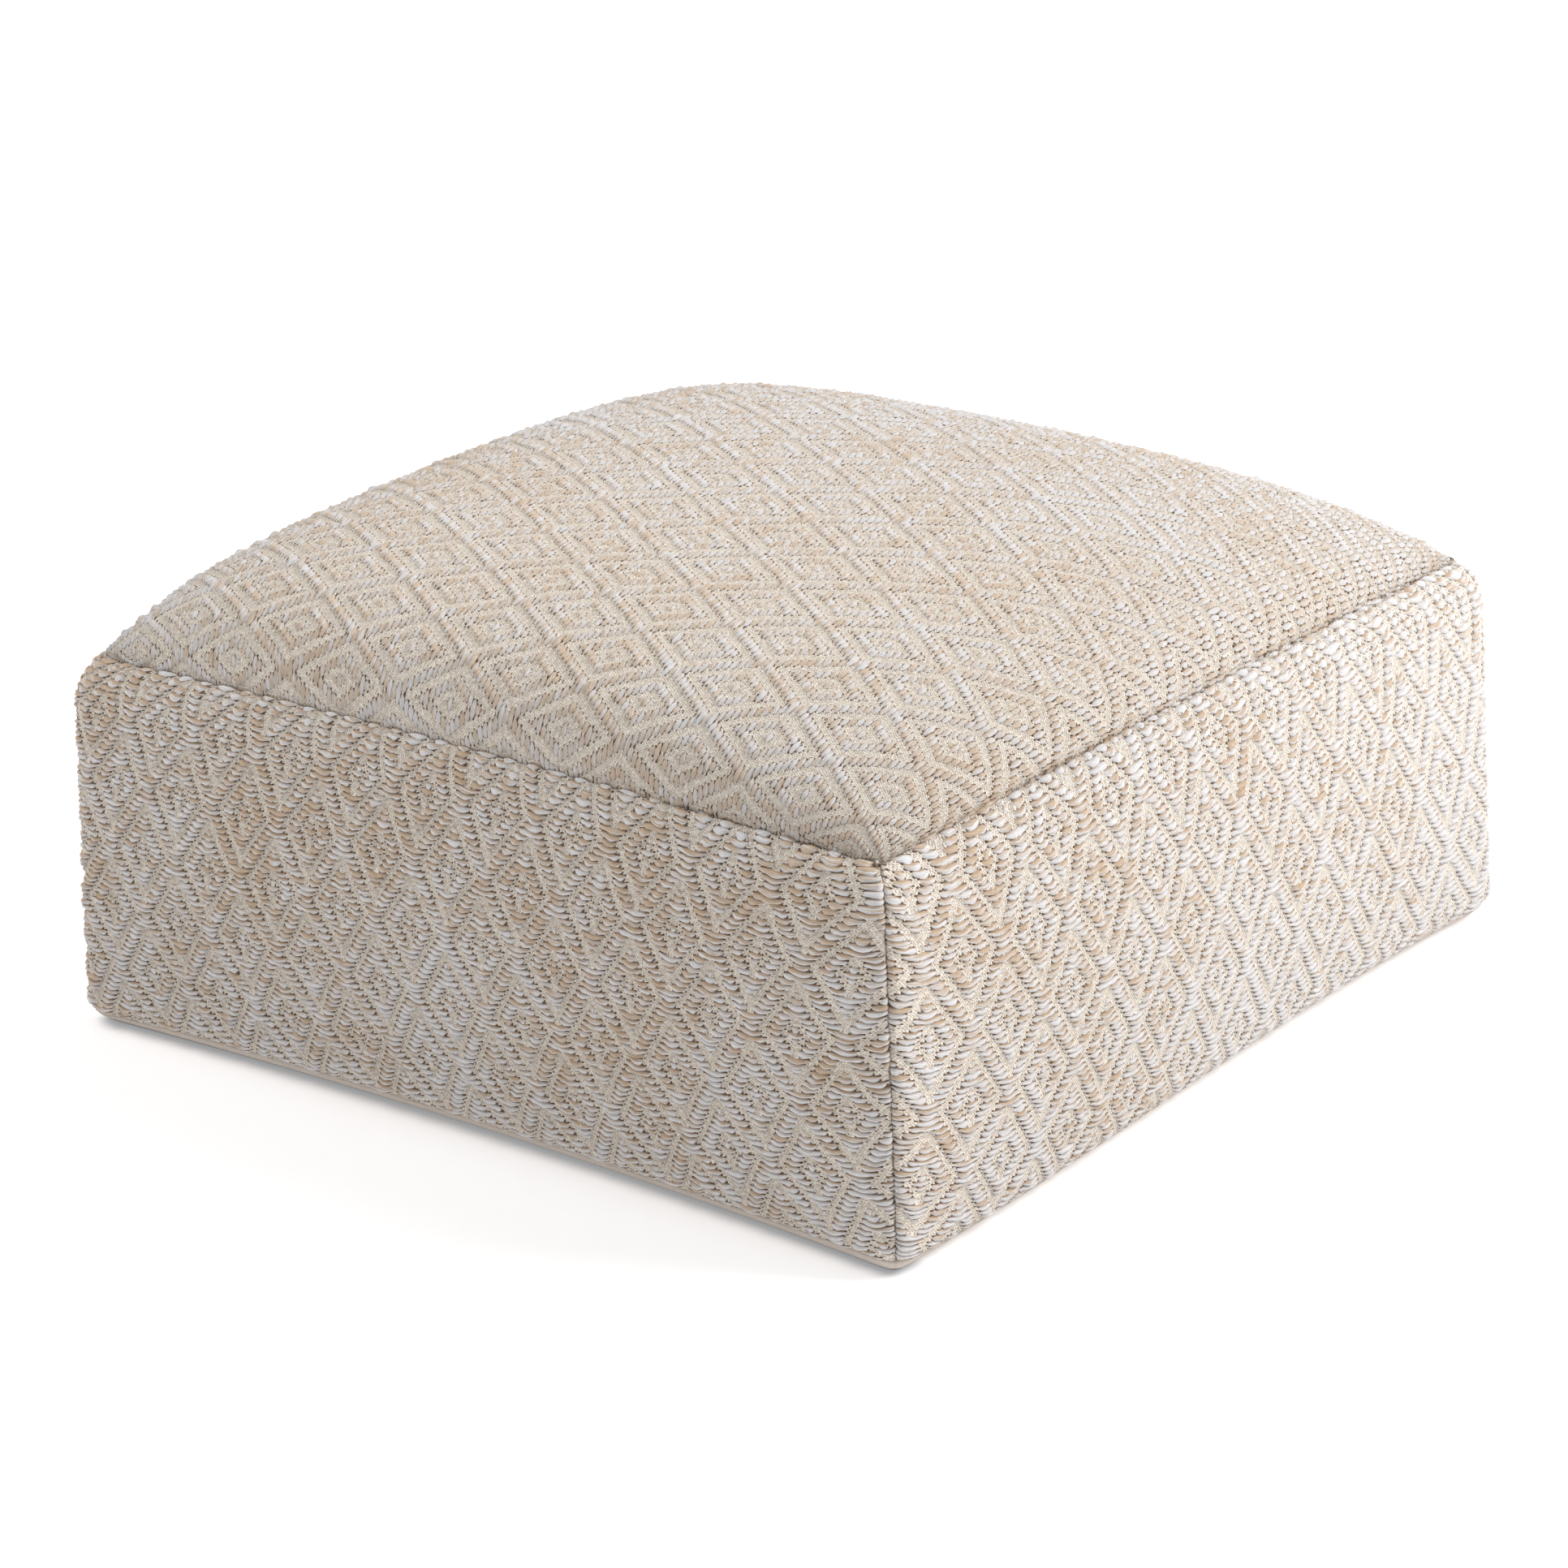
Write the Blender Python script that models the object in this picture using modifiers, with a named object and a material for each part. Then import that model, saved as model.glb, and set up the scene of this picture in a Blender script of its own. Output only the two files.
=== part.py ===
"""A low square pouf in heavy woven cloth, filled and resting on the floor.

The pieces are the ones a maker cuts and sews: a crowned top panel, four side
panels and a plain canvas base. The top panel's cloth and the filling behind it
are one solid, which the other five panels cover as thin sheets. Metres, +Z up,
with the origin on the floor under the middle of the base.
"""

import math

import bmesh
import bpy
from mathutils import Vector

# Driving sizes, in metres
CORNER = 0.293            # half the distance between neighbouring corner seams
FLARE = 0.0068            # how much wider that is at the base
SEAM_CORNER = 0.282       # the same at the top seam, where the corners are drawn in
SEAM_HEIGHT = 0.2277      # of the top seam at a corner
SEAM_RISE = 0.0082        # how much higher the top seam is in the middle of a side
SEAM_BOW = 0.0072         # how far it bows outwards there
CROWN = 0.0582            # of the top's middle above the seam
CROWN_FULLNESS = 3.5      # exponent: a larger one is flatter in the middle
CROWN_EDGE = 0.4          # exponent: a smaller one rises more steeply at the seam
CROWN_SHIFT = (-0.119, -0.139)  # of its highest point, as a share of half the top each way
SHOULDER = 0.028          # height over which a side turns in to the top seam
TUCK_HEIGHT = 0.0195      # height over which a side turns in under the base
TUCK_DEPTH = 0.0188       # how far it turns in there
CORNER_TUCK = 0.7         # share of that tuck at a corner seam
SEAM_ROLL = 0.0048        # how far a side stands proud of its corner seams
SEAM_ROLL_SHARE = 0.04    # share of half a side over which it rolls in to them
BASE_SEAM_HEIGHT = 0.006  # where side panel and base panel are sewn together
CLOTH = 0.003             # thickness of the woven cloth
CANVAS = 0.0015           # thickness of the base canvas
GAP = 0.0003              # between pieces that touch
FILL_GAP = 0.0005         # between the filled solid and the sheets over it
CORNER_GAP = 0.0006       # from each side panel's edge to its corner seam
CANVAS_DROP = 0.0010      # from the side panels' lower edge to the canvas's edge
CORNER_INSET = 0.0045     # of the filled solid behind a corner seam
SEAM_INSET = 0.0032       # of the filled solid behind the side panels' top edge

# How far each side bulges, in metres: at the base, half way up and at the top.
# The skew moves the base's bulge towards the side's last corner.
SIDES = {
    "side_panel_front": {"turn": 0, "base": -0.0121, "skew": 0.06, "middle": 0.0088, "top": 0.0007},
    "side_panel_right": {"turn": 1, "base": -0.0047, "skew": 1.95, "middle": 0.0088, "top": 0.0038},
    "side_panel_back": {"turn": 2, "base": -0.0110, "skew": 0.15, "middle": 0.0094, "top": 0.0015},
    "side_panel_left": {"turn": 3, "base": -0.0052, "skew": 1.80, "middle": 0.0082, "top": 0.0030},
}

# Facets
COLUMNS = 24              # along each side
PANEL_ROWS = 11           # up each side panel
RIM_ROWS = 3              # round the canvas's turned-up edge

# Shares of a side's height that its base tuck and its shoulder take
TUCK_SHARE = 0.2
SHOULDER_SHARE = 0.3

BESIDE_CORNER = 0.9       # where along a side the height of a corner's filling is taken

SEAM_ANGLE = math.asin(1 - BASE_SEAM_HEIGHT / TUCK_HEIGHT)
PANEL_START = TUCK_SHARE * (1 - SEAM_ANGLE / (math.pi / 2))

QUARTER_TURNS = ((1, 0), (0, 1), (-1, 0), (0, -1))


def clear_scene():
    for old in list(bpy.data.objects):
        bpy.data.objects.remove(old, do_unlink=True)


def material(name, colour, roughness):
    made = bpy.data.materials.new(name)
    made.use_nodes = True
    shader = made.node_tree.nodes["Principled BSDF"]
    shader.inputs["Base Color"].default_value = (*colour, 1.0)
    shader.inputs["Roughness"].default_value = roughness
    shader.inputs["Metallic"].default_value = 0.0
    return made


def spread(share):
    """A share from -1 to 1, crowded towards both ends, where the cloth rolls in."""
    return math.sin(share * math.pi / 2)


def seam_height(along):
    """Height of the top seam, along a side from -1 to 1."""
    return SEAM_HEIGHT + SEAM_RISE * (1 - along**2)


def seam_roll(along):
    """How fully the cloth has rolled out of the corner seams, from 0 to 1."""
    past = max(0.0, (abs(along) - 1 + SEAM_ROLL_SHARE) / SEAM_ROLL_SHARE)
    return math.sqrt(max(0.0, 1 - past**2))


def height_and_turns(along, up):
    """Height, and how far the cloth has turned in at the base and at the top, from 0 to 1."""
    top = seam_height(along)
    if up < TUCK_SHARE:
        angle = (1 - up / TUCK_SHARE) * math.pi / 2
        return TUCK_HEIGHT * (1 - math.sin(angle)), 1 - math.cos(angle), 0.0
    if up > 1 - SHOULDER_SHARE:
        angle = (up - 1 + SHOULDER_SHARE) / SHOULDER_SHARE * math.pi / 2
        return top - SHOULDER * (1 - math.sin(angle)), 0.0, 1 - math.cos(angle)
    share = (up - TUCK_SHARE) / (1 - TUCK_SHARE - SHOULDER_SHARE)
    return TUCK_HEIGHT + share * (top - SHOULDER - TUCK_HEIGHT), 0.0, 0.0


def side_point(side, along, up):
    """A point on a side's outer face: along it from -1 to 1, and up it from 0 to 1."""
    height, tucked, pinched = height_and_turns(along, up)
    level = height / seam_height(along)
    middle = 1 - along**2
    bulge = side["base"] * (1 - level) * (1 + side["skew"] * along)
    bulge += side["top"] * level
    bulge += side["middle"] * 4 * level * (1 - level)
    roll = seam_roll(along)
    corner = CORNER + FLARE * (1 - level)
    body = corner + SEAM_ROLL * roll + bulge * middle
    seam = SEAM_CORNER + SEAM_BOW * middle
    tuck = TUCK_DEPTH * tucked
    out = body - (body - seam) * pinched - tuck * (CORNER_TUCK + (1 - CORNER_TUCK) * roll)
    corner -= (corner - SEAM_CORNER) * pinched + CORNER_TUCK * tuck
    cos, sin = QUARTER_TURNS[side["turn"]]
    x = along * (corner - CORNER_GAP)
    y = -out
    return Vector((x * cos - y * sin, x * sin + y * cos, height))


def inward(side, along, up, depth):
    """A point that lies depth behind a side's outer face."""
    step = 1e-4
    left, right = max(-1.0, along - step), min(1.0, along + step)
    low, high = max(0.0, up - step), min(1.0, up + step)
    across = side_point(side, right, up) - side_point(side, left, up)
    rising = side_point(side, along, high) - side_point(side, along, low)
    return side_point(side, along, up) - across.cross(rising).normalized() * depth


def crown(share, shift):
    """Height of the crown along one direction of the top, from 0 at its seams to 1."""
    share -= shift * (1 - share**2)
    return max(0.0, 1 - abs(share) ** CROWN_FULLNESS) ** CROWN_EDGE


def top_point(across, along):
    """A point on the crowned top, from -1 to 1 each way."""
    bow_x = 1 - along**2
    bow_y = 1 - across**2
    x = across * (SEAM_CORNER + SEAM_BOW * bow_x)
    y = along * (SEAM_CORNER + SEAM_BOW * bow_y)
    rise = SEAM_RISE * (bow_x + bow_y - bow_x * bow_y)
    height = CROWN * crown(across, CROWN_SHIFT[0]) * crown(along, CROWN_SHIFT[1])
    return Vector((x, y, SEAM_HEIGHT + GAP + rise + height))


def new_object(name, bm, collection, finish):
    bmesh.ops.recalc_face_normals(bm, faces=bm.faces[:])
    mesh = bpy.data.meshes.new(name)
    bm.to_mesh(mesh)
    bm.free()
    mesh.shade_smooth()
    mesh.materials.append(finish)
    made = bpy.data.objects.new(name, mesh)
    collection.objects.link(made)
    return made


def face_towards(sheet, direction):
    """Turns an open sheet over if its outer face points away from direction."""
    facing = sum((face.normal * face.area for face in sheet.data.polygons), Vector())
    if facing.dot(direction) < 0:
        sheet.data.flip_normals()


def thicken(sheet, thickness):
    wall = sheet.modifiers.new("thickness", "SOLIDIFY")
    wall.thickness = thickness
    wall.offset = -1.0
    wall.use_even_offset = False


def side_of(across, along):
    """The side that a point on the top's edge lies on, and how far along it."""
    if along == -1:
        return SIDES["side_panel_front"], across
    if across == 1:
        return SIDES["side_panel_right"], along
    if along == 1:
        return SIDES["side_panel_back"], -across
    return SIDES["side_panel_left"], -along


def make_side_panel(name, side, collection, finish):
    bm = bmesh.new()
    bmesh.ops.create_grid(bm, x_segments=COLUMNS, y_segments=PANEL_ROWS, size=1.0)
    for vert in bm.verts:
        up = PANEL_START + (1 - PANEL_START) * (vert.co.y + 1) / 2
        vert.co = side_point(side, spread(round(vert.co.x, 5)), up)
    panel = new_object(name, bm, collection, finish)
    cos, sin = QUARTER_TURNS[side["turn"]]
    face_towards(panel, Vector((sin, -cos, 0)))
    thicken(panel, CLOTH)


def rows_down(bm, verts, edges, places):
    """Extrudes a loop to each row of places in turn, and gives the last row's edges.

    The keys of verts are the loop's points, each with its two shares for place.
    """
    for place in places:
        made = bmesh.ops.extrude_edge_only(bm, edges=edges)["geom"]
        edges = [part for part in made if isinstance(part, bmesh.types.BMEdge) and part.is_boundary]
        row = {}
        for vert in {vert for edge in edges for vert in edge.verts}:
            above = next(edge.other_vert(vert) for edge in vert.link_edges if edge.other_vert(vert) in verts)
            row[vert] = verts[above]
        for vert, key in row.items():
            vert.co = place(*key)
        verts = row
    return edges


def make_top_panel(collection, finish):
    """The crowned top cloth and the filling behind it, one solid down to the base."""
    bm = bmesh.new()
    bmesh.ops.create_grid(bm, x_segments=COLUMNS, y_segments=COLUMNS, size=1.0)
    rim = {}
    for vert in bm.verts:
        across, along = (spread(round(value, 5)) for value in vert.co.xy)
        if vert.is_boundary:
            rim[vert] = (across, along)
        vert.co = top_point(across, along)

    def wall(up, depth):
        def place(across, along):
            side, share = side_of(across, along)
            if abs(share) < 1:
                return inward(side, share, up, depth + FILL_GAP)
            corner = side_point(side, share, up)
            nearer = 1 - CORNER_INSET / CORNER
            height = inward(side, share * BESIDE_CORNER, up, depth + FILL_GAP).z
            return Vector((corner.x * nearer, corner.y * nearer, height))

        return place

    def behind_seam(inset, drop):
        def place(across, along):
            side, share = side_of(across, along)
            point = side_point(side, share, 1.0)
            nearer = 1 - inset / SEAM_CORNER
            return Vector((point.x * nearer, point.y * nearer, point.z - drop))

        return place

    seam_rows = [behind_seam(SEAM_INSET, -GAP), behind_seam(SEAM_INSET, CLOTH + FILL_GAP)]
    panel_rows = [wall(1 - (1 - PANEL_START) * row / PANEL_ROWS, CLOTH) for row in range(1, PANEL_ROWS + 1)]
    canvas_rows = [wall(PANEL_START * (1 - row / RIM_ROWS), CANVAS) for row in range(1, RIM_ROWS + 1)]
    open_edge = [edge for edge in bm.edges if edge.is_boundary]
    lowest = rows_down(bm, rim, open_edge, seam_rows + panel_rows + canvas_rows)
    bmesh.ops.contextual_create(bm, geom=lowest)
    new_object("top_panel", bm, collection, finish)


def perimeter():
    """The points round the top's edge, from -1 to 1 each way, anticlockwise."""
    shares = [spread(2 * column / COLUMNS - 1) for column in range(COLUMNS)]
    front = [(share, -1) for share in shares]
    right = [(1, share) for share in shares]
    back = [(-share, 1) for share in shares]
    left = [(-1, -share) for share in shares]
    return front + right + back + left


def make_base_panel(collection, finish):
    """Canvas: flat on the floor, with its edge turned up to the side panels."""
    bm = bmesh.new()

    def turned_up(up):
        def place(across, along):
            side, share = side_of(across, along)
            return side_point(side, share, up)

        return place

    edge_place = turned_up(PANEL_START)
    ring = {bm.verts.new(edge_place(*key) - Vector((0, 0, CANVAS_DROP))): key for key in perimeter()}
    verts = list(ring)
    edges = [bm.edges.new(ends) for ends in zip(verts, verts[1:] + verts[:1])]
    rim_rows = [turned_up(PANEL_START * (1 - row / RIM_ROWS)) for row in range(1, RIM_ROWS + 1)]
    bmesh.ops.contextual_create(bm, geom=rows_down(bm, ring, edges, rim_rows))
    panel = new_object("base_panel", bm, collection, finish)
    face_towards(panel, Vector((0, 0, -1)))
    thicken(panel, CANVAS)


def main():
    clear_scene()
    collection = bpy.data.collections.new("cube_pouf_stool")
    bpy.context.scene.collection.children.link(collection)
    woven = material("woven_cloth", (0.72, 0.65, 0.56), 0.92)
    canvas = material("base_canvas", (0.62, 0.56, 0.47), 0.95)
    make_top_panel(collection, woven)
    for name, side in SIDES.items():
        make_side_panel(name, side, collection, woven)
    make_base_panel(collection, canvas)


main()
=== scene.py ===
"""Dresses the low square pouf: woven diamond cloth on its top and four sides, and
a plain canvas base.

The cloth is woven, not printed. In the floats, a row's weft lies over the warp as
one loose bundle of tan and pale strands. Between the bands of floats, the cream
warp covers it in small knots. Each float is modelled as its own low arch, from the
same layout that the cloth's material reads. +Z is up, and the front faces -Y.
"""

import math
from functools import partial

import bmesh
import bpy
import numpy as np
from mathutils import Matrix, Vector


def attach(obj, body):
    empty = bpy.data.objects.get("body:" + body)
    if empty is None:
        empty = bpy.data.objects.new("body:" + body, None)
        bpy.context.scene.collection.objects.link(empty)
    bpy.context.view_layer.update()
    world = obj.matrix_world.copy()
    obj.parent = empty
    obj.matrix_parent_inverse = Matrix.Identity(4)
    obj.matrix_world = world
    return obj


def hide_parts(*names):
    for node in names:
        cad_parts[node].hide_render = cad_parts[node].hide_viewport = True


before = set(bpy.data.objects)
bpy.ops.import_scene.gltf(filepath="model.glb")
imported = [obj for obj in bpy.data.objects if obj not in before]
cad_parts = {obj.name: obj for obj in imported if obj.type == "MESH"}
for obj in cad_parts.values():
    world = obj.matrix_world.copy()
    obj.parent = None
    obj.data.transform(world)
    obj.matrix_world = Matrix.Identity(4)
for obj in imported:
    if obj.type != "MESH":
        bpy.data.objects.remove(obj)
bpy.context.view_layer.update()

MM = 0.001
DECIMETRES = 10              # in a metre

# The pouf's form, as its solids have it, in metres
CORNER = 0.293               # from the middle to a corner seam, at its top
FLARE = 0.0068               # how much further out that seam is at the floor
SEAM_CORNER = 0.282          # from the middle to the ends of the top seam
SEAM_HEIGHT = 0.2277         # of the top seam at its ends
SEAM_RISE = 0.0082           # how much higher it is halfway along a side
SEAM_BOW = 0.0072            # how much further out it is there
CROWN = 0.0582               # height of the top over its seam
CROWN_FULLNESS = 3.5         # powers of the crown's curve
CROWN_EDGE = 0.4
CROWN_SHIFT = (-0.119, -0.139)  # of its highest place, in half sides
SHOULDER = 0.028             # height over which a side turns in to the top seam
TUCK_HEIGHT = 0.0195         # height over which its foot turns in
TUCK_DEPTH = 0.0188          # how far the foot turns in
CORNER_TUCK = 0.7            # the share of that at a corner
SEAM_ROLL = 0.0048           # how far the cloth stands out beside a corner seam
SEAM_ROLL_SHARE = 0.04       # the share of half a side over which it does so
BASE_SEAM_HEIGHT = 0.006     # where the canvas meets the side panels
TUCK_SHARE = 0.2             # the share of the way up a side that the foot takes
SHOULDER_SHARE = 0.3         # and the shoulder
SEAM_ANGLE = math.asin(1 - BASE_SEAM_HEIGHT / TUCK_HEIGHT)
PANEL_START = TUCK_SHARE * (1 - SEAM_ANGLE / (math.pi / 2))

# How far out a side's face is halfway along it, at its base, in its middle and at
# its top, and how much more its base is so towards its second end
SIDES = {
    "front": {"turn": 0, "base": -0.0121, "skew": 0.06, "middle": 0.0088, "top": 0.0007},
    "right": {"turn": 1, "base": -0.0047, "skew": 1.95, "middle": 0.0088, "top": 0.0038},
    "back": {"turn": 2, "base": -0.0110, "skew": 0.15, "middle": 0.0094, "top": 0.0015},
    "left": {"turn": 3, "base": -0.0052, "skew": 1.80, "middle": 0.0082, "top": 0.0030},
}
QUARTER_TURNS = ((1, 0), (0, 1), (-1, 0), (0, -1))

# The weave. A diamond is two steps wide along the weft and two high along the warp.
ROWS_A_STEP = 12             # of weft, in a step along the warp
ENDS_A_STEP = 17             # of warp, in a step along the weft
PICKS_A_ROW = 3              # of the warp's knots, in the height of a row
STRANDS = 5.0                # in a row's bundle
EYE = 0.16                   # half the width of the floats in a diamond's middle, in steps
RING_IN = 0.31               # where the ring of floats round it starts, in steps
RING_OUT = 0.63              # and where it ends
LATTICE = 0.18               # half the width of the floats between diamonds, in steps
TOP_SLACK = 0.035            # how much shorter the top's floats are at each end, in steps
LEAST_FLOAT = 0.01           # the shortest half float, in steps
FLOAT_LENGTHS = (0.35, 1.3)  # the least and most of a float's length over LATTICE
FLOAT_RISE = 2.35            # of a float's middle over the warp, in millimetres
KNOT_RISE = 0.35             # of the cream bands, in millimetres
BUNDLE_REACH = 0.52          # of a bundle to each side of its row, in rows
BUNDLE_EDGE = 0.12           # the share of its height that a bundle keeps at its edges
PLUMP_WAVES = ((0.16, 2.3, 4.7), (0.1, 5.9, -2.9))   # size, radians a step and a row
FLOAT_SAG = 0.0085           # how far a float on a side hangs, in decimetres
FLOAT_LEAN = 0.9             # how much further it hangs towards its first end
SAG_WAVES = ((0.3, 3.1, 2.3), (0.25, -5.3, 1.7))

# Where the cloth and the canvas are sewn, in decimetres unless a line says otherwise
SEAM_FREE = 0.03             # how near a seam the floats start to flatten
FOOT_FREE = 0.10             # the same at the foot, from the canvas's edge
SEAM_FULL = 0.5              # the share of their height that they keep at the top seam
CORNER_FULL = 0.3            # and at the corner seams
SEAM_REACH = 0.04            # how near a seam the cloth starts to roll in
SEAM_DRAW = 0.0008           # how far it rolls in at a corner seam, in metres
TOP_DRAW = 0.0002            # and at the top seam, in metres
TURNED_IN = 0.005            # how far its edges turn in behind the seams, in metres
HEM = 0.012                  # how far the canvas laps over the cloth at the foot
FRONT_HEM = 0.062            # and along the front, up to the near corner
HEM_POWER = 8                # of its curve at the front's other end
HEM_FADE = 0.1               # in half sides, over which it narrows past the near corner
HEM_RISE = 0.0005            # how far it stands out, in metres
CANVAS_THICKNESS = 0.0015    # in metres
FILLING_FOOT = ((0.03, 1.0), (0.004, 0.93))  # heights in metres, and shares of its width

# Where each panel's diamonds fall: its steps along the weft and the warp are sums of
# these shares of side_terms or top_terms
NEAR_SEAM = 0.6              # how near a corner seam the rows bend, in decimetres
LAYOUTS = {
    "right": {
        "weft": (-1.206, 3.873, -0.782, 0.974, 0.373, -0.169),
        "warp": (-0.709, 0.077, 1.964, 0.531, 0.173, -0.078),
        "from_end": False,
        "rise": 0.8,
        "columns": 476,
    },
    "front": {
        "weft": (-0.714, 3.878, -1.452, 0.868, 0.594, -0.045),
        "warp": (0.313, 0.002, 2.31, 0.304, 0.058, -0.001),
        "from_end": True,
        "rise": 1.0,
        "columns": 452,
    },
    "left": {
        "weft": (-0.9, 3.75, 0.0, 0.5, 0.0, 0.05),
        "warp": (-0.35, 0.02, 2.25, 0.25, 0.0, 0.0),
        "from_end": False,
        "rise": 1.0,
        "columns": 476,
    },
    "back": {
        "weft": (-1.5, 3.8, 0.0, 0.4, 0.0, -0.04),
        "warp": (0.45, -0.03, 2.2, 0.2, 0.0, 0.0),
        "from_end": True,
        "rise": 1.0,
        "columns": 476,
    },
}
TOP_WARP = (0.248, 2.209, 0.314, -0.031, -0.056, -0.03, 0.001, -0.019, 0.003, -0.005)
TOP_WEFT = (6.416, 0.049, 3.22, 0.086, 0.087, 0.054, -0.008, 0.033, 0.013, 0.022)

# How the meshes are made
SIDE_SAMPLES = (2001, 800)   # for lengths along a side's face, and for its rows
TOP_SAMPLES = (4001, 2000)
NORMAL_STEP = 1e-4           # in half sides
WELD = 0.00004               # in metres: nearer points of a cloth are one

# Colours of the yarns, each from one fibre to the next
TAN = ((0.67, 0.515, 0.375, 1), (0.47, 0.345, 0.235, 1))
# the top's tan, painted lighter because more light falls on the top
TOP_LIT_TAN = ((0.75, 0.62, 0.495, 1), (0.53, 0.41, 0.30, 1))
WHITE = ((0.80, 0.79, 0.79, 1), (0.64, 0.615, 0.60, 1))
CREAM = ((0.63, 0.55, 0.465, 1), (0.79, 0.72, 0.63, 1))
# cream with painted light, laid on the sides towards the back, where the key light falls
LIT_CREAM = (0.92, 0.86, 0.77, 1)
CANVAS = ((0.42, 0.36, 0.31, 1), (0.62, 0.55, 0.485, 1))
# painted shade along the canvas's foot on the front
CANVAS_FOOT_SHADE = (0.07, 0.07, 0.075, 1)

# Colours of painted shade, for their shaded places
STRAND_GAP_SHADE = (0.28, 0.20, 0.15, 1)
UNDER_FLOAT_SHADE = (0.28, 0.18, 0.11, 1)
TOP_SHADE = (0.28, 0.19, 0.12, 1)
HOLLOW_SHADE = (0.15, 0.09, 0.05, 1)
KNOT_GAP_SHADE = (0.36, 0.27, 0.19, 1)
TICK_SHADE = (0.15, 0.095, 0.06, 1)


# --- the form -------------------------------------------------------------


def seam_height(along):
    return SEAM_HEIGHT + SEAM_RISE * (1 - along**2)


def side_points(side, along, up):
    """Points on a side's outer face: along it from -1 to 1, and up it from 0 to 1."""
    along, up = np.broadcast_arrays(np.asarray(along, float), np.asarray(up, float))
    top = seam_height(along)
    low = (1 - np.clip(up / TUCK_SHARE, 0, 1)) * math.pi / 2
    high = np.clip((up - 1 + SHOULDER_SHARE) / SHOULDER_SHARE, 0, 1) * math.pi / 2
    share = np.clip((up - TUCK_SHARE) / (1 - TUCK_SHARE - SHOULDER_SHARE), 0, 1)
    straight = share * (top - SHOULDER - TUCK_HEIGHT)
    height = TUCK_HEIGHT * (1 - np.sin(low)) + straight + SHOULDER * np.sin(high)
    tucked, pinched = 1 - np.cos(low), 1 - np.cos(high)
    level = height / top
    middle = 1 - along**2
    bulge = side["base"] * (1 - level) * (1 + side["skew"] * along)
    bulge += side["top"] * level + side["middle"] * 4 * level * (1 - level)
    past = np.maximum(0, (np.abs(along) - 1 + SEAM_ROLL_SHARE) / SEAM_ROLL_SHARE)
    roll = np.sqrt(np.maximum(0, 1 - past**2))
    corner = CORNER + FLARE * (1 - level)
    body = corner + SEAM_ROLL * roll + bulge * middle
    seam = SEAM_CORNER + SEAM_BOW * middle
    tuck = TUCK_DEPTH * tucked
    out = body - (body - seam) * pinched - tuck * (CORNER_TUCK + (1 - CORNER_TUCK) * roll)
    corner = corner - (corner - SEAM_CORNER) * pinched - CORNER_TUCK * tuck
    cos, sin = QUARTER_TURNS[side["turn"]]
    x, y = along * corner, -out
    return np.stack([x * cos - y * sin, x * sin + y * cos, height], -1)


def crown(share, shift):
    """The crown's height across the top, from 0 at the seams to 1."""
    share = share - shift * (1 - share**2)
    return np.maximum(0, 1 - np.abs(share) ** CROWN_FULLNESS) ** CROWN_EDGE


def top_points(across, along):
    """Points on the crowned top, from -1 to 1 each way."""
    across, along = np.broadcast_arrays(np.asarray(across, float), np.asarray(along, float))
    bow_x, bow_y = 1 - along**2, 1 - across**2
    x = across * (SEAM_CORNER + SEAM_BOW * bow_x)
    y = along * (SEAM_CORNER + SEAM_BOW * bow_y)
    rise = SEAM_RISE * (bow_x + bow_y - bow_x * bow_y)
    height = CROWN * crown(across, CROWN_SHIFT[0]) * crown(along, CROWN_SHIFT[1])
    return np.stack([x, y, SEAM_HEIGHT + rise + height], -1)


def hem_at(name, along):
    """How far the canvas laps over a side's foot, in decimetres."""
    if name == "front":
        return HEM + (FRONT_HEM - HEM) * (1 - np.minimum(along, 0) ** HEM_POWER)
    if name == "right":
        return HEM + (FRONT_HEM - HEM) * np.exp(-(1 + along) / HEM_FADE)
    return HEM + 0 * along


def outward(surface, one, other):
    """Unit normals of a surface, towards the cross of its first and second direction."""
    one_more, one_less = np.minimum(one + NORMAL_STEP, 1), np.maximum(one - NORMAL_STEP, -1)
    first = surface(one_more, other) - surface(one_less, other)
    more, less = np.minimum(other + NORMAL_STEP, 1), np.maximum(other - NORMAL_STEP, -1)
    second = surface(one, more) - surface(one, less)
    normal = np.cross(first, second)
    return normal / np.maximum(np.linalg.norm(normal, axis=-1, keepdims=True), 1e-12)


def run_of(points):
    """Length run from the first point to each, in decimetres."""
    steps_run = np.linalg.norm(np.diff(points, axis=0), axis=1)
    return np.concatenate([[0], np.cumsum(steps_run)]) * DECIMETRES


# --- the weave's layout -----------------------------------------------------


def triangle_wave(value):
    return 1 - np.abs(value % 2 - 1)


def side_terms(x, depth):
    """What a side's layout is made of, x along it and depth down it in decimetres."""
    return 1, x, depth, np.exp(-x / NEAR_SEAM), depth**2, x * depth


def top_terms(x, y):
    """The same for the top, x across it and y along it from its middle."""
    return 1, x, y, x * x, x * y, y * y, x**3, x * x * y, x * y * y, y**3


def steps(shares, terms):
    return sum(share * term for share, term in zip(shares, terms))


def float_spans(b, slack):
    """The middle and half length of each float that a row has at height b in a diamond.
    Every float is shorter by the slack at each end, and the cream bands are wider."""
    zero = np.zeros_like(b)
    lattice = LATTICE - slack
    ring_start = RING_IN + slack - b
    ring_middle = np.where(ring_start > 0, (RING_IN + RING_OUT) / 2 - b, zero)
    start = 1 - lattice - b
    middle = np.where(b < lattice, 1.0, np.where(start > 0, 1 - b, zero))
    half = np.where((start <= 0) & (b >= lattice), 1 + lattice - b, middle - start)
    ring = (ring_middle, RING_OUT - slack - b - ring_middle)
    return (zero, EYE - slack - b), ring, (middle, half)


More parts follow.
